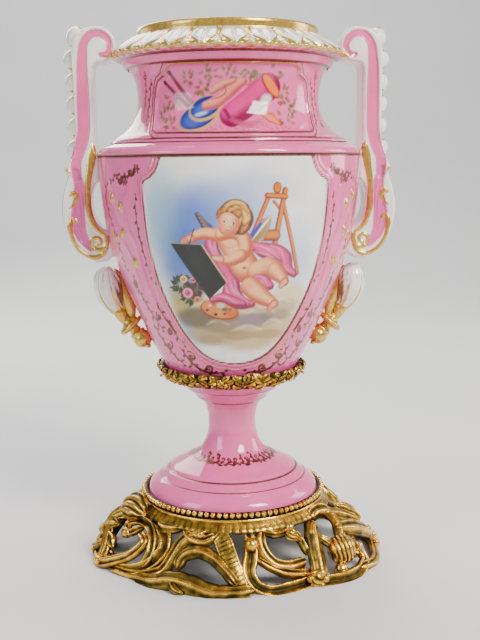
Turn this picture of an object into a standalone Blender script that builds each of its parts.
"""A porcelain vase with two scroll handles, held in a gilt bronze leaf collar and an openwork gilt bronze base.

The vase stands upright on its base. The axis of the turned pieces is Z, the floor is at z = 0, the front is
towards -Y and the handles lie along X. Lengths are in metres.
"""

import math

import bmesh
import bpy
from mathutils import Matrix, Vector

MM = 0.001
GAP = 0.3 * MM

# Gilt bronze base: a turned ring with a seat for the porcelain foot, on a skirt of cast scrolls
SEAT_HEIGHT = 46.7 * MM
SEAT_WIDTH = 9 * MM
SEAT_LIP = 4.6 * MM
RING_WALL = 4.5 * MM
RAIL_SPREAD = 8.6 * MM
RAIL_DROP = 8.4 * MM
SKIRT_SPREAD = 30 * MM
SCROLL_WIDTH = 8.4 * MM
SCROLL_DEPTH = 7.5 * MM
ROSETTE_RADIUS = 13.5 * MM
BACK_REACH = 0.25

# Porcelain foot: a hollow dome, a stem and a calyx that carries the body
FOOT_RADIUS = 70.2 * MM
FOOT_EDGE = 5.5 * MM
DOME_HEIGHT = 24.5 * MM
DOME_TOP_RADIUS = 37 * MM
STEM_RADIUS = 19.5 * MM
STEM_HEIGHT = 48 * MM
CALYX_LEDGE_RADIUS = 24 * MM
CALYX_HEIGHT = 17.7 * MM
CALYX_RADIUS = 47 * MM
FOOT_WALL = 5 * MM
WEB_THICKNESS = 6 * MM

# Porcelain body: an open vessel
BODY_BASE_RADIUS = 43.5 * MM
BELLY_HEIGHT = 172.7 * MM
SHOULDER_RADIUS = 103.4 * MM
SHOULDER_HEIGHT = 17.5 * MM
NECK_RADIUS = 71.4 * MM
NECK_HEIGHT = 66 * MM
LIP_RADIUS = 90.5 * MM
RIM_LEAF_HEIGHT = 13.5 * MM
RIM_RADIUS = 70 * MM
RIM_BAND = 6.7 * MM
BODY_WALL = 5 * MM
BODY_FLOOR = 8 * MM
RIM_LEAVES = 24
RIM_LEAF_RELIEF = 1.2 * MM

# Handles: a flat strap with a curl at the lip and a broad scroll on the belly
HANDLE_WIDTH = 30 * MM
STRAP_THICKNESS = 13 * MM
STRAP_STANDOFF = 14 * MM
CURL_RADIUS = 13.5 * MM
CURL_OUT = 9.5 * MM
CURL_UP = 8 * MM
SCROLL_REACH = 28.5 * MM
SCROLL_HEIGHT = 75.5 * MM
BAND_WIDTH = 7 * MM
BAND_DEPTH = 1.6 * MM
PEARLS = 6
PEARL_PITCH = 17.4 * MM
FIRST_PEARL = 17 * MM
PEARL_RADIUS = 9 * MM
PEARL_PROUD = 1.8 * MM
VOLUTE_RADIUS = 8.5 * MM
VOLUTE_PROUD = 1.6 * MM

# Drop ornaments under the handles
HUSK_RADIUS = 14 * MM
HUSK_BELOW_SCROLL = 21.5 * MM
DISC_BELOW_HUSK = 31 * MM
BALL_BELOW_DISC = 11 * MM
DISC_THICKNESS = 4.4 * MM
DISC_RADIUS = 10.2 * MM
BALL_RADIUS = 7.6 * MM

# Gilt bronze leaf collar around the foot of the body
COLLAR_HEIGHT = 11 * MM
COLLAR_WALL = 3.2 * MM
COLLAR_LEAVES = 18
COLLAR_TIP_CURL = 6 * MM

BODY_SEGMENTS = 2 * RIM_LEAVES
CAVITY_SEGMENTS = 32
FOOT_SEGMENTS = 32
RING_SEGMENTS = 36
SKIRT_DETAIL = 0.62

# Heights that follow from the sizes above
FOOT_BOTTOM = SEAT_HEIGHT + GAP
DOME_TOP = FOOT_BOTTOM + FOOT_EDGE + DOME_HEIGHT
CALYX_BOTTOM = DOME_TOP + STEM_HEIGHT
FOOT_TOP = CALYX_BOTTOM + CALYX_HEIGHT
BODY_BOTTOM = FOOT_TOP + GAP
SHOULDER_Z = BODY_BOTTOM + BELLY_HEIGHT
NECK_BOTTOM = SHOULDER_Z + SHOULDER_HEIGHT
LIP_Z = NECK_BOTTOM + NECK_HEIGHT
RIM_Z = LIP_Z + RIM_LEAF_HEIGHT + RIM_BAND
BASE_TOP_RADIUS = FOOT_RADIUS + GAP
RING_RADIUS = BASE_TOP_RADIUS + RING_WALL
RAIL_RADIUS = BASE_TOP_RADIUS + RAIL_SPREAD
RAIL_Z = SEAT_HEIGHT - RAIL_DROP
STRAP_OUTSIDE = SHOULDER_RADIUS + STRAP_STANDOFF
CURL_X = LIP_RADIUS + CURL_OUT
CURL_Z = LIP_Z + CURL_UP
SCROLL_BOTTOM = SHOULDER_Z - SCROLL_HEIGHT


def clear_scene():
    for obj in list(bpy.data.objects):
        bpy.data.objects.remove(obj, do_unlink=True)


def material(name, colour, roughness, metallic):
    made = bpy.data.materials.new(name)
    made.use_nodes = True
    shader = made.node_tree.nodes["Principled BSDF"]
    shader.inputs["Base Color"].default_value = (*colour, 1.0)
    shader.inputs["Roughness"].default_value = roughness
    shader.inputs["Metallic"].default_value = metallic
    return made


def new_object(name, mesh_data, made=None):
    """Turns a bmesh into an object, with its faces pointing out."""
    bmesh.ops.recalc_face_normals(mesh_data, faces=mesh_data.faces)
    mesh = bpy.data.meshes.new(name)
    mesh_data.to_mesh(mesh)
    mesh_data.free()
    obj = bpy.data.objects.new(name, mesh)
    bpy.context.scene.collection.objects.link(obj)
    if made:
        mesh.materials.append(made)
    return obj


def combine(target, tool, operation, crossing=False):
    """Applies a Boolean to the target and removes the tool. A crossing tool may pass through itself."""
    modifier = target.modifiers.new(operation.lower(), "BOOLEAN")
    modifier.operation = operation
    modifier.solver = "EXACT"
    modifier.use_self = crossing
    modifier.object = tool
    bpy.context.view_layer.objects.active = target
    bpy.ops.object.modifier_apply(modifier=modifier.name)
    bpy.data.objects.remove(tool, do_unlink=True)


def bezier(start, pull_start, pull_end, end, steps):
    """Points of a cubic curve, without its first point."""
    points = []
    for step in range(1, steps + 1):
        t = step / steps
        s = 1 - t
        weights = (s * s * s, 3 * s * s * t, 3 * s * t * t, t * t * t)
        corners = (start, pull_start, pull_end, end)
        points.append(tuple(sum(w * c[axis] for w, c in zip(weights, corners)) for axis in range(2)))
    return points


def smooth(points, steps):
    """A smooth curve through the points, with so many steps between two of them."""
    vectors = [Vector(point) for point in points]
    ends = [vectors[0] * 2 - vectors[1], *vectors, vectors[-1] * 2 - vectors[-2]]
    curve = [vectors[0]]
    for index in range(1, len(ends) - 2):
        before, here, there, after = ends[index - 1:index + 3]
        for step in range(1, steps + 1):
            t = step / steps
            linear = (there - before) * t
            square = (before * 2 - here * 5 + there * 4 - after) * t * t
            cube = (here * 3 - before - there * 3 + after) * t * t * t
            curve.append(here + (linear + square + cube) * 0.5)
    return curve


def polar(radius, degrees, z):
    """A point around the axis, measured from the front towards +X."""
    turn = math.radians(degrees)
    return Vector((radius * math.sin(turn), -radius * math.cos(turn), z))


def turned(name, profile, segments, closed=False, shape=None, made=None):
    """Turns a profile of (radius, height) around Z. An end of an open profile lies on the axis."""
    work = bmesh.new()
    rows = []
    for number, (radius, z) in enumerate(profile):
        if radius == 0:
            rows.append([work.verts.new((0, 0, z))])
            continue
        row = []
        for index in range(segments):
            degrees = 360 * index / segments
            out, up = shape(number, degrees) if shape else (0, 0)
            row.append(work.verts.new(polar(radius + out, degrees, z + up)))
        rows.append(row)
    pairs = list(zip(rows, rows[1:]))
    if closed:
        pairs.append((rows[-1], rows[0]))
    for first, second in pairs:
        for index in range(segments):
            after = (index + 1) % segments
            corners = [first[index % len(first)], first[after % len(first)]]
            corners += [second[after % len(second)], second[index % len(second)]]
            face = list(dict.fromkeys(corners))
            work.faces.new(face)
    return new_object(name, work, made)


def plate(name, outline, y_low, y_high):
    """A flat outline of (x, z) points, drawn out along Y."""
    work = bmesh.new()
    front = [work.verts.new((x, y_low, z)) for x, z in outline]
    face = work.faces.new(front)
    drawn = bmesh.ops.extrude_face_region(work, geom=[face])
    moved = [part for part in drawn["geom"] if isinstance(part, bmesh.types.BMVert)]
    bmesh.ops.translate(work, verts=moved, vec=(0, y_high - y_low, 0))
    return new_object(name, work)


def strip(path, widths):
    """The outline of a flat strip along a path of (x, z) points."""
    left, right = [], []
    for index, point in enumerate(path):
        before = path[max(index - 1, 0)]
        after = path[min(index + 1, len(path) - 1)]
        along = (after - before).normalized()
        share = index / (len(path) - 1) * (len(widths) - 1)
        low = min(int(share), len(widths) - 2)
        half = 0.5 * (widths[low] + (widths[low + 1] - widths[low]) * (share - low))
        side = Vector((-along.y, along.x)) * half
        left.append(tuple(point + side))
        right.append(tuple(point - side))
    return left + right[::-1]


def body_outside():
    """The body's outer profile as (radius, height), from the rim down to the middle of its underside."""
    rim_bottom = LIP_Z + RIM_LEAF_HEIGHT
    waist_z = NECK_BOTTOM + 0.47 * NECK_HEIGHT
    bead = 0.4 * SHOULDER_HEIGHT
    points = [(0, RIM_Z), (RIM_RADIUS - 1 * MM, RIM_Z), (RIM_RADIUS, rim_bottom)]
    points.append((0.45 * RIM_RADIUS + 0.55 * LIP_RADIUS, LIP_Z + 0.5 * RIM_LEAF_HEIGHT))
    points.append((LIP_RADIUS, LIP_Z))
    under_lip = (LIP_RADIUS - 5.5 * MM, LIP_Z - 3.5 * MM)
    points.append(under_lip)
    points += bezier(
        under_lip,
        (NECK_RADIUS + 5 * MM, LIP_Z - 10 * MM),
        (NECK_RADIUS, waist_z + 20 * MM),
        (NECK_RADIUS, waist_z),
        3,
    )
    points += bezier(
        (NECK_RADIUS, waist_z),
        (NECK_RADIUS, waist_z - 15 * MM),
        (SHOULDER_RADIUS - 23.5 * MM, NECK_BOTTOM + 4.5 * MM),
        (SHOULDER_RADIUS - 11.4 * MM, NECK_BOTTOM),
        3,
    )
    points.append((SHOULDER_RADIUS - 5 * MM, NECK_BOTTOM - 3 * MM))
    points.append((SHOULDER_RADIUS, NECK_BOTTOM - bead))
    points.append((SHOULDER_RADIUS, SHOULDER_Z + 0.4 * SHOULDER_HEIGHT))
    heel = (BODY_BASE_RADIUS + 5.6 * MM, BODY_BOTTOM + 3.8 * MM)
    points += bezier(
        (SHOULDER_RADIUS, SHOULDER_Z + 0.4 * SHOULDER_HEIGHT),
        (SHOULDER_RADIUS, SHOULDER_Z - 0.42 * BELLY_HEIGHT),
        (BODY_BASE_RADIUS + 29 * MM, BODY_BOTTOM + 0.23 * BELLY_HEIGHT),
        heel,
        7,
    )
    points.append((BODY_BASE_RADIUS, BODY_BOTTOM))
    points.append((0, BODY_BOTTOM))
    return points


def body_radius(z):
    """The outer radius of the body at a height below its shoulder."""
    side = [point for point in body_outside() if point[0] > 0 and point[1] <= NECK_BOTTOM]
    for (upper_radius, upper_z), (lower_radius, lower_z) in zip(side, side[1:]):
        if lower_z <= z <= upper_z and upper_z > lower_z:
            share = (z - lower_z) / (upper_z - lower_z)
            return lower_radius + (upper_radius - lower_radius) * share
    return BODY_BASE_RADIUS


def body_cavity():
    """The hollow inside the body as (radius, height), open at the rim."""
    floor = BODY_BOTTOM + BODY_FLOOR
    over = 5 * MM
    points = [(0, RIM_Z + over), (RIM_RADIUS - BODY_WALL, RIM_Z + over)]
    side = [point for point in body_outside() if point[0] > 0 and point[1] > floor + 3 * MM]
    inside = [point for point in side if point[1] < LIP_Z - 10 * MM]
    points.append((RIM_RADIUS - BODY_WALL, LIP_Z - 6 * MM))
    for index in range(1, len(inside), 2):
        radius, z = inside[index]
        points.append((radius - 1.1 * BODY_WALL, z))
    points.append((body_radius(floor + 2 * MM) - 1.6 * BODY_WALL, floor + 1.5 * MM))
    points.append((body_radius(floor) - 3 * BODY_WALL, floor))
    points.append((0, floor))
    return points


def rim_relief(number, degrees):
    """The white leaves of the rim swell and sink around it."""
    if number not in (3, 4):
        return 0, 0
    crest = math.cos(math.radians(degrees * RIM_LEAVES))
    return RIM_LEAF_RELIEF * crest, 0


def strap_edge():
    """The outer edge of the right handle, from the top of its curl down to the flare."""
    x = STRAP_OUTSIDE
    curl_top = CURL_Z + CURL_RADIUS
    return [
        Vector((CURL_X + 2.5 * MM, curl_top)),
        Vector((x - 7 * MM, curl_top - 2 * MM)),
        Vector((x - 1.2 * MM, curl_top - 9 * MM)),
        Vector((x, curl_top - 20 * MM)),
        Vector((x - 0.5 * MM, NECK_BOTTOM + 0.4 * NECK_HEIGHT)),
        Vector((x + 0.3 * MM, NECK_BOTTOM + 2 * MM)),
        Vector((x + 4 * MM, NECK_BOTTOM - 11 * MM)),
        Vector((x + 11 * MM, NECK_BOTTOM - 20 * MM)),
    ]


def handle_outline():
    """The right handle seen from the front, as (x, z) points."""
    inside = STRAP_OUTSIDE - STRAP_THICKNESS
    outside = SHOULDER_RADIUS + SCROLL_REACH
    points = []
    for degrees in range(235, 95, -20):
        turn = math.radians(degrees)
        points.append((CURL_X + CURL_RADIUS * math.cos(turn), CURL_Z + CURL_RADIUS * math.sin(turn)))
    points += [tuple(point) for point in smooth(strap_edge(), 2)]
    scroll = [
        (outside - 7 * MM, SHOULDER_Z - 9 * MM),
        (outside - 2 * MM, SHOULDER_Z - 0.26 * SCROLL_HEIGHT),
        (outside, SHOULDER_Z - 0.43 * SCROLL_HEIGHT),
        (outside - 3 * MM, SHOULDER_Z - 0.68 * SCROLL_HEIGHT),
        (outside - 12 * MM, SHOULDER_Z - 0.9 * SCROLL_HEIGHT),
        (outside - 26 * MM, SCROLL_BOTTOM),
    ]
    points += [tuple(point) for point in smooth(scroll, 2)]
    root = body_radius(SCROLL_BOTTOM + 6 * MM) - 0.5 * BODY_WALL
    points.append((root, SCROLL_BOTTOM + 6 * MM))
    points.append((body_radius(SHOULDER_Z - 51 * MM) - 0.5 * BODY_WALL, SHOULDER_Z - 51 * MM))
    gap_edge = [
        (SHOULDER_RADIUS - 0.5 * MM, SHOULDER_Z - 47 * MM),
        (SHOULDER_RADIUS + 3.8 * MM, SHOULDER_Z - 39 * MM),
        (SHOULDER_RADIUS + 5.6 * MM, SHOULDER_Z - 30 * MM),
        (SHOULDER_RADIUS + 4.6 * MM, SHOULDER_Z - 21 * MM),
        (SHOULDER_RADIUS + 1 * MM, SHOULDER_Z - 13.5 * MM),
    ]
    points += gap_edge
    points.append((SHOULDER_RADIUS - 0.5 * BODY_WALL, SHOULDER_Z - 11 * MM))
    points.append((SHOULDER_RADIUS - 0.5 * BODY_WALL, SHOULDER_Z + 0.5 * SHOULDER_HEIGHT))
    points.append((inside, SHOULDER_Z + 0.7 * SHOULDER_HEIGHT))
    points.append((inside, LIP_Z - 9 * MM))
    points.append((inside - 1 * MM, LIP_Z - 6.5 * MM))
    points.append((CURL_X, CURL_Z - CURL_RADIUS))
    return points


def ellipsoid(name, centre, radii, tilt=0.0, segments=8, rings=4):
    """A rounded solid, tilted in the plane of the handles."""
    work = bmesh.new()
    bmesh.ops.create_uvsphere(work, u_segments=segments, v_segments=rings, radius=1)
    matrix = Matrix.Translation(centre) @ Matrix.Rotation(tilt, 4, "Y") @ Matrix.Diagonal((*radii, 1))
    bmesh.ops.transform(work, matrix=matrix, verts=work.verts)
    return new_object(name, work)


def taper(name, start, end, start_radius, end_radius, segments=10):
    """A tapered round bar between two points."""
    along = end - start
    work = bmesh.new()
    bmesh.ops.create_cone(
        work, cap_ends=True, segments=segments, radius1=start_radius, radius2=end_radius, depth=along.length
    )
    turn = along.to_track_quat("Z", "Y").to_matrix().to_4x4()
    bmesh.ops.transform(work, matrix=Matrix.Translation((start + end) / 2) @ turn, verts=work.verts)
    return new_object(name, work)


def point_along(path, distance):
    """The point at a distance along a path."""
    for start, end in zip(path, path[1:]):
        step = (end - start).length
        if distance <= step:
            return start + (end - start) * (distance / step)
        distance -= step
    return path[-1]


def right_handle():
    half = 0.5 * HANDLE_WIDTH
    handle = plate("handle_form", handle_outline(), -half, half)
    middle = STRAP_OUTSIDE - 0.5 * STRAP_THICKNESS
    curl = Vector((CURL_X, CURL_Z))
    band = smooth([
        Vector((middle + 9 * MM, NECK_BOTTOM - 16 * MM)),
        Vector((middle + 2 * MM, NECK_BOTTOM - 4 * MM)),
        Vector((middle, NECK_BOTTOM + 12 * MM)),
        Vector((middle, LIP_Z - 4 * MM)),
        curl + Vector((6 * MM, 5.5 * MM)),
        curl + Vector((-2 * MM, 7.5 * MM)),
        curl + Vector((-7 * MM, 1 * MM)),
    ], 1)
    panel = smooth([
        Vector((SHOULDER_RADIUS + 15 * MM, SHOULDER_Z - 6 * MM)),
        Vector((SHOULDER_RADIUS + 17.5 * MM, SHOULDER_Z - 24 * MM)),
        Vector((SHOULDER_RADIUS + 17 * MM, SHOULDER_Z - 42 * MM)),
        Vector((SHOULDER_RADIUS + 11.5 * MM, SHOULDER_Z - 55 * MM)),
    ], 2)
    volute_centre = (SHOULDER_RADIUS + 2.3 * MM, SCROLL_BOTTOM + 17 * MM)
    for side in (-1, 1):
        inner = side * (half - BAND_DEPTH)
        outer = side * (half + BAND_DEPTH)
        low, high = min(inner, outer), max(inner, outer)
        combine(handle, plate("band", strip(band, (BAND_WIDTH, BAND_WIDTH, 0.8 * BAND_WIDTH)), low, high), "DIFFERENCE")
        widths = (0.8 * BAND_WIDTH, 1.9 * BAND_WIDTH, 1.9 * BAND_WIDTH, 0.8 * BAND_WIDTH)
        combine(handle, plate("panel", strip(panel, widths), low, high), "DIFFERENCE")
    volute_start = Vector((volute_centre[0], -half - VOLUTE_PROUD, volute_centre[1]))
    volute_end = Vector((volute_centre[0], half + VOLUTE_PROUD, volute_centre[1]))
    combine(handle, taper("volute", volute_start, volute_end, VOLUTE_RADIUS, VOLUTE_RADIUS, 12), "UNION")
    edge = smooth(strap_edge(), 6)
    for number in range(PEARLS):
        x, z = point_along(edge, FIRST_PEARL + number * PEARL_PITCH)
        radii = (PEARL_RADIUS, PEARL_RADIUS + 1 * MM, 0.52 * PEARL_PITCH)
        combine(handle, ellipsoid("pearl", (x + PEARL_PROUD, 0, z), radii), "UNION")
    return handle


def right_drop():
    """The husk, disc and ball under the right handle, on the slope of the body."""
    husk_z = SCROLL_BOTTOM - HUSK_BELOW_SCROLL
    husk = Vector((body_radius(husk_z) + 0.86 * HUSK_RADIUS, 0, husk_z))
    drop = ellipsoid("drop_form", husk, (HUSK_RADIUS, 0.95 * HUSK_RADIUS, 1.1 * HUSK_RADIUS), 0.3, 10, 5)
    disc_z = husk_z - DISC_BELOW_HUSK
    disc = Vector((body_radius(disc_z) + 0.9 * DISC_RADIUS, 0, disc_z))
    ball_z = disc_z - BALL_BELOW_DISC
    ball = Vector((body_radius(ball_z) + 0.75 * BALL_RADIUS, 0, ball_z))
    lean = Vector((0.67, 0, 0.74)).normalized()
    waist = husk + Vector((-0.1 * HUSK_RADIUS, 0, -0.6 * HUSK_RADIUS))
    combine(drop, taper("waist", waist, disc, 0.78 * HUSK_RADIUS, 0.7 * DISC_RADIUS), "UNION")
    half = lean * (0.5 * DISC_THICKNESS)
    combine(drop, taper("disc", disc - half, disc + half, DISC_RADIUS, DISC_RADIUS), "UNION")
    combine(drop, taper("link", disc, ball, 0.55 * DISC_RADIUS, 0.6 * BALL_RADIUS, 8), "UNION")
    combine(drop, ellipsoid("ball", ball, (BALL_RADIUS, BALL_RADIUS, BALL_RADIUS), 0), "UNION")
    return drop


def half_turn_copy(obj):
    """A copy turned half way round the axis."""
    copy = obj.copy()
    copy.data = obj.data.copy()
    copy.data.transform(Matrix.Rotation(math.pi, 4, "Z"))
    bpy.context.scene.collection.objects.link(copy)
    return copy


def make_body(made):
    body = turned("vase_body", body_outside(), BODY_SEGMENTS, shape=rim_relief, made=made)
    for form in (right_handle(), right_drop()):
        combine(body, half_turn_copy(form), "UNION")
        combine(body, form, "UNION")
    combine(body, turned("cavity", body_cavity(), CAVITY_SEGMENTS), "DIFFERENCE")
    return body


def foot_profile():
    """The foot's section, from the middle of its web down the inside, and up the outside to its top."""
    edge_top = (FOOT_RADIUS, FOOT_BOTTOM + FOOT_EDGE)
    dome_top = (DOME_TOP_RADIUS, DOME_TOP)
    narrow = (STEM_RADIUS, DOME_TOP + 0.6 * STEM_HEIGHT)
    ledge = (CALYX_LEDGE_RADIUS, CALYX_BOTTOM)
    bore = STEM_RADIUS - FOOT_WALL
    web = FOOT_TOP - WEB_THICKNESS
    points = [(0, web), (bore, web), (bore, DOME_TOP + 0.45 * STEM_HEIGHT)]
    points += bezier(
        (bore, DOME_TOP + 0.45 * STEM_HEIGHT),
        (bore, DOME_TOP + 0.15 * STEM_HEIGHT),
        (DOME_TOP_RADIUS - 1.6 * FOOT_WALL, DOME_TOP),
        (DOME_TOP_RADIUS, DOME_TOP - 1.1 * FOOT_WALL),
        2,
    )
    points.append((0.5 * (DOME_TOP_RADIUS + FOOT_RADIUS), DOME_TOP - 0.42 * DOME_HEIGHT - FOOT_WALL))
    points.append((FOOT_RADIUS - 1.3 * FOOT_WALL, FOOT_BOTTOM + 0.6 * FOOT_EDGE))
    points.append((FOOT_RADIUS - FOOT_WALL, FOOT_BOTTOM))
    points.append((FOOT_RADIUS - 0.4 * MM, FOOT_BOTTOM))
    points.append(edge_top)
    points += bezier(
        edge_top,
        (FOOT_RADIUS - 3.2 * MM, edge_top[1] + 0.24 * DOME_HEIGHT),
        (DOME_TOP_RADIUS + 14 * MM, DOME_TOP - 0.22 * DOME_HEIGHT),
        dome_top,
        3,
    )
    points += bezier(
        dome_top,
        (STEM_RADIUS + 5 * MM, DOME_TOP + 0.15 * STEM_HEIGHT),
        (STEM_RADIUS, DOME_TOP + 0.3 * STEM_HEIGHT),
        narrow,
        3,
    )
    points += bezier(
        narrow,
        (STEM_RADIUS, DOME_TOP + 0.8 * STEM_HEIGHT),
        (CALYX_LEDGE_RADIUS - 2.5 * MM, CALYX_BOTTOM - 4 * MM),
        ledge,
        2,
    )
    points.append((CALYX_LEDGE_RADIUS + 4.5 * MM, CALYX_BOTTOM + 1.5 * MM))
    points.append((CALYX_RADIUS - 11 * MM, CALYX_BOTTOM + 0.6 * CALYX_HEIGHT))
    points.append((CALYX_RADIUS, FOOT_TOP - 1 * MM))
    points.append((CALYX_RADIUS, FOOT_TOP))
    points.append((0, FOOT_TOP))
    return points


def collar_profile():
    """The leaf collar's section, from its inner bottom edge up the inside and down the outside."""
    clear = 2 * GAP
    bottom = BODY_BOTTOM
    tip = bottom + COLLAR_HEIGHT
    inside = [point for point in body_outside() if point[0] > 0 and point[1] < tip]
    points = [(radius + clear, z) for radius, z in reversed(inside)]
    points.append((body_radius(tip) + clear, tip))
    points.append((body_radius(tip) + COLLAR_TIP_CURL, tip + 1 * MM))
    points.append((body_radius(tip) + COLLAR_TIP_CURL + 0.5 * COLLAR_WALL, tip - 2.5 * MM))
    middle = bottom + 0.45 * COLLAR_HEIGHT
    points.append((body_radius(middle) + 1.6 * COLLAR_WALL, middle))
    points.append((BODY_BASE_RADIUS + 2 * COLLAR_WALL, bottom + 1 * MM))
    points.append((BODY_BASE_RADIUS + 1.2 * COLLAR_WALL, bottom))
    return points


def collar_relief(number, degrees):
    """The leaf tips rise and curl out between low notches."""
    crest = math.cos(math.radians(degrees * COLLAR_LEAVES))
    outside = number - len(collar_profile()) + 5
    if outside in (0, 1):
        return 1.6 * MM * crest, 2 * MM * crest
    if outside == 2:
        return 1.1 * MM * crest, 0
    return 0, 0


def ring_profile():
    """The base's turned ring: seat, beaded edge, cove, fillet and flared rail."""
    inner = BASE_TOP_RADIUS - SEAT_WIDTH
    lip_top = SEAT_HEIGHT + SEAT_LIP
    return [
        (inner, SEAT_HEIGHT),
        (BASE_TOP_RADIUS, SEAT_HEIGHT),
        (BASE_TOP_RADIUS, lip_top - 1 * MM),
        (BASE_TOP_RADIUS + 2 * MM, lip_top),
        (RING_RADIUS, lip_top - 1.2 * MM),
        (RING_RADIUS - 1.5 * MM, lip_top - 4 * MM),
        (RING_RADIUS + 0.6 * MM, lip_top - 5.6 * MM),
        (RAIL_RADIUS, RAIL_Z),
        (RAIL_RADIUS - RING_WALL - 4 * MM, RAIL_Z + 1 * MM),
        (inner, SEAT_HEIGHT - RING_WALL),
    ]


def skirt_point(degrees, height, out):
    """A place on the skirt: an angle, a height as a share of the rail's height, and how far it stands out."""
    z = height * RAIL_Z
    fall = max(0.0, 1 - height)
    radius = RAIL_RADIUS - 1.5 * MM + SKIRT_SPREAD * fall ** 0.85 + out
    return polar(radius, degrees, z)


# The front half of the skirt, seen from the front, from the left corner to the right one. Each scroll is a list
# of (angle, height as a share of the rail's height, reach beyond the skirt), and its widths from start to end.
HALF_SKIRT = {
    "left_curl": (((-66, 0.70, 6), (-71, 0.79, 7), (-67, 0.91, 6), (-59, 0.93, 4), (-51, 0.85, 4),
                   (-47, 0.66, 3), (-46, 0.44, 2), (-49, 0.24, 1)), (0.6, 0.8, 0.8, 0.8, 0.7)),
    "left_hook": (((-57, 0.78, 6), (-51, 0.68, 6), (-54, 0.46, 7), (-61, 0.27, 9), (-68, 0.12, 12),
                   (-77, 0.07, 10), (-89, 0.06, 3)), (0.7, 0.9, 1.0, 0.9, 0.9)),
    "left_arc": (((-58, 1.0, 0), (-49, 0.92, 0), (-42, 0.79, 0), (-40, 0.62, 0), (-42, 0.44, 0),
                  (-47, 0.26, 0), (-54, 0.14, 3), (-63, 0.12, 9)), (0.8, 1.1, 1.0, 0.9)),
    "long_s": (((-61, 0.08, 7), (-53, 0.06, 2), (-43, 0.15, 0), (-36, 0.30, 0), (-33.5, 0.54, 0),
                (-31.5, 0.77, 0), (-26, 0.95, 0), (-17, 1.01, 0)), (0.7, 0.9, 1.0, 0.9, 0.8)),
    "arch_leaf": (((-29, 0.36, 1), (-28.5, 0.55, 1), (-21, 0.69, 1), (-13, 0.61, 1), (-7, 0.42, 1),
                   (-2, 0.18, 1)), (0.9, 1.0, 0.9, 0.8)),
    "ribbed_band": (((-16, 1.02, 0), (-10, 0.92, 0), (-6.5, 0.71, 0), (-4, 0.49, 0), (-1.5, 0.27, 0),
                     (0.5, 0.06, 1)), (1.0, 1.4, 1.3, 1.0)),
    "foot_leaf": (((-49, 0.06, 1), (-39, 0.10, 2), (-30, 0.20, 3), (-21, 0.17, 3), (-13, 0.08, 2),
                   (-5, 0.06, 1), (5, 0.09, 1)), (0.8, 1.1, 1.2, 1.0, 0.9)),
    "lower_c": (((5, 1.02, 0), (5.5, 0.84, 1), (5, 0.62, 0), (3.5, 0.40, 0), (5.5, 0.18, 0), (11, 0.06, 1),
                 (20, 0.05, 1), (31, 0.09, 2)), (0.8, 1.1, 0.8, 1.0, 0.9)),
    "upper_c": (((13, 1.02, 0), (11, 0.86, 0), (12, 0.65, 0), (16, 0.47, 0), (23, 0.39, 0), (32, 0.42, 1)),
                (0.8, 0.9, 0.9, 0.8)),
    "middle_c": (((7, 0.60, 0), (13, 0.43, 0), (19, 0.31, 0), (26, 0.24, 0), (33, 0.20, 1)), (0.5, 0.8, 0.8)),
    "right_c": (((26, 1.01, 0), (31.5, 0.90, 0), (34, 0.72, 0), (34, 0.50, 1)), (0.9, 0.6, 0.7)),
    "tall_leaf": (((47, 0.96, 0), (42, 0.80, 2), (38.5, 0.56, 3), (36, 0.32, 4), (34, 0.08, 4)),
                  (1.1, 1.7, 1.7, 1.5)),
    "bracket": (((47, 1.02, 0), (57, 1.06, 1), (62, 1.00, 5), (60, 0.88, 9), (55, 0.70, 11), (51, 0.48, 9)),
                (1.2, 1.5, 1.2, 1.0)),
    "upper_leaf": (((58, 1.0, 4), (65, 0.93, 9), (71, 0.78, 13), (75, 0.62, 15)), (0.9, 1.3, 0.7)),
    "outer_leaf": (((54, 0.80, 11), (63, 0.72, 15), (74, 0.48, 15), (82, 0.22, 12), (86, 0.06, 9)),
                   (1.0, 1.5, 1.3, 0.9)),
    "corner_arc": (((58, 0.40, 15), (58, 0.20, 16), (53, 0.08, 15), (45, 0.05, 13), (37, 0.06, 8),
                    (30, 0.08, 3)), (0.7, 0.9, 1.1, 1.0, 0.9)),
    "side_arc": (((53, 0.10, 14), (62, 0.05, 17), (73, 0.05, 13), (85, 0.06, 8), (97, 0.06, 4), (109, 0.06, 3)),
                 (0.8, 1.0, 0.9, 0.9)),
    "side_scroll": (((72, 1.0, 0), (80, 0.86, 1), (86, 0.62, 2), (88, 0.36, 4), (90, 0.08, 6)),
                    (0.9, 1.2, 1.2, 1.0)),
    "shell_leaf": (((-63, 1.02, 0), (-72, 1.04, 7), (-79, 0.96, 12), (-81, 0.82, 15), (-76, 0.62, 15),
                    (-71, 0.36, 13), (-69, 0.12, 12)), (1.2, 1.9, 1.4, 1.0, 0.9)),
    "back_leaf": (((-84, 1.0, 0), (-88, 0.82, 2), (-89, 0.56, 3), (-87, 0.30, 4), (-88, 0.07, 4)),
                  (0.9, 1.4, 1.2, 1.0)),
}
BOSSES = {
    "rosette": (50.5, 0.45, 11, 1.0),
    "small_flower": (31, 0.14, 3, 0.55),
    "eye": (-66, 0.68, 7, 0.35),
}


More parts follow.
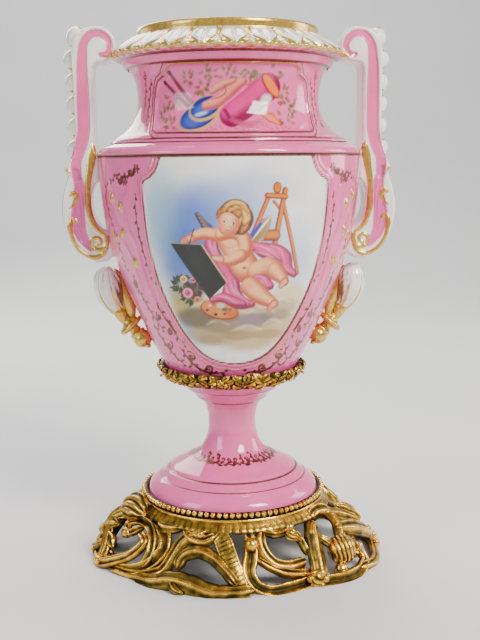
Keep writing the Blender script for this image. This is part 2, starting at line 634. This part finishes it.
def scroll(name, points, widths, reach):
    """One cast scroll of the skirt, with a flat back and a raised middle."""
    work = bmesh.new()
    places = [skirt_point(degrees, height, reach * out * MM) for degrees, height, out in points]
    rows = []
    last = len(places) - 1
    for index, place in enumerate(places):
        along = (places[min(index + 1, last)] - places[max(index - 1, 0)]).normalized()
        outward = Vector((place.x, place.y, 0)).normalized() * 0.82 + Vector((0, 0, 0.57))
        outward = (outward - along * outward.dot(along)).normalized()
        across = along.cross(outward)
        share = index / last * (len(widths) - 1)
        low = min(int(share), len(widths) - 2)
        width = SCROLL_WIDTH * (widths[low] + (widths[low + 1] - widths[low]) * (share - low))
        depth = 0.5 * SCROLL_DEPTH
        corners = ((-0.5, -depth), (0.5, -depth), (0, depth))
        rows.append([work.verts.new(place + across * (side * width) + outward * up) for side, up in corners])
    for first, second in zip(rows, rows[1:]):
        for index in range(3):
            after = (index + 1) % 3
            work.faces.new((first[index], first[after], second[after], second[index]))
    work.faces.new(rows[0])
    work.faces.new(rows[-1][::-1])
    bmesh.ops.triangulate(work, faces=work.faces)
    return new_object(name, work)


def boss(name, degrees, height, out, radius):
    """A flower boss of the skirt, facing outwards."""
    work = bmesh.new()
    place = skirt_point(degrees, height, out * MM)
    outward = (Vector((place.x, place.y, 0)).normalized() * 0.9 + Vector((0, 0, 0.43))).normalized()
    bmesh.ops.create_uvsphere(work, u_segments=8, v_segments=4, radius=radius)
    turn = outward.to_track_quat("Z", "Y").to_matrix().to_4x4()
    flat = Matrix.Diagonal((1, 1, 0.55, 1))
    bmesh.ops.transform(work, matrix=Matrix.Translation(place) @ turn @ flat, verts=work.verts)
    return new_object(name, work)


def half_skirt(reach):
    """The scrolls and bosses of the front half, with their reach beyond the skirt as a share."""
    half = None
    for name, (degrees, height, out, share) in BOSSES.items():
        form = boss(name, degrees, height, reach * out, share * ROSETTE_RADIUS)
        if half:
            combine(half, form, "UNION")
        half = half or form
    for name, (points, widths) in HALF_SKIRT.items():
        combine(half, scroll(name, points, widths, reach), "UNION", crossing=True)
    thin = half.modifiers.new("thin", "DECIMATE")
    thin.ratio = SKIRT_DETAIL
    bpy.context.view_layer.objects.active = half
    bpy.ops.object.modifier_apply(modifier=thin.name)
    return half


def ground():
    """Everything below the floor, which cuts the scrolls' feet flat."""
    work = bmesh.new()
    bmesh.ops.create_cube(work, size=1)
    side = 4 * (RAIL_RADIUS + SKIRT_SPREAD)
    thick = 40 * MM
    place = Matrix.Translation((0, 0, -0.5 * thick)) @ Matrix.Diagonal((side, side, thick, 1))
    bmesh.ops.transform(work, matrix=place, verts=work.verts)
    return new_object("ground", work)


def make_base(made):
    base = turned("base", ring_profile(), RING_SEGMENTS, closed=True, made=made)
    back = half_skirt(BACK_REACH)
    combine(base, half_turn_copy(back), "UNION")
    bpy.data.objects.remove(back, do_unlink=True)
    combine(base, half_skirt(1.0), "UNION")
    combine(base, ground(), "DIFFERENCE")
    return base


def finish(obj):
    """Smooth shading that keeps the real edges sharp."""
    obj.data.shade_smooth()
    obj.data.set_sharp_from_angle(angle=math.radians(35))


def main():
    clear_scene()
    pink = material("pink_glaze", (0.72, 0.25, 0.40), 0.12, 0.0)
    gilt = material("gilt_bronze", (0.62, 0.40, 0.10), 0.32, 1.0)
    body = make_body(pink)
    foot = turned("vase_foot", foot_profile(), FOOT_SEGMENTS, made=pink)
    collar = turned(
        "leaf_collar", collar_profile(), 2 * COLLAR_LEAVES, closed=True, shape=collar_relief, made=gilt
    )
    base = make_base(gilt)
    for obj in (body, foot, collar, base):
        finish(obj)


main()
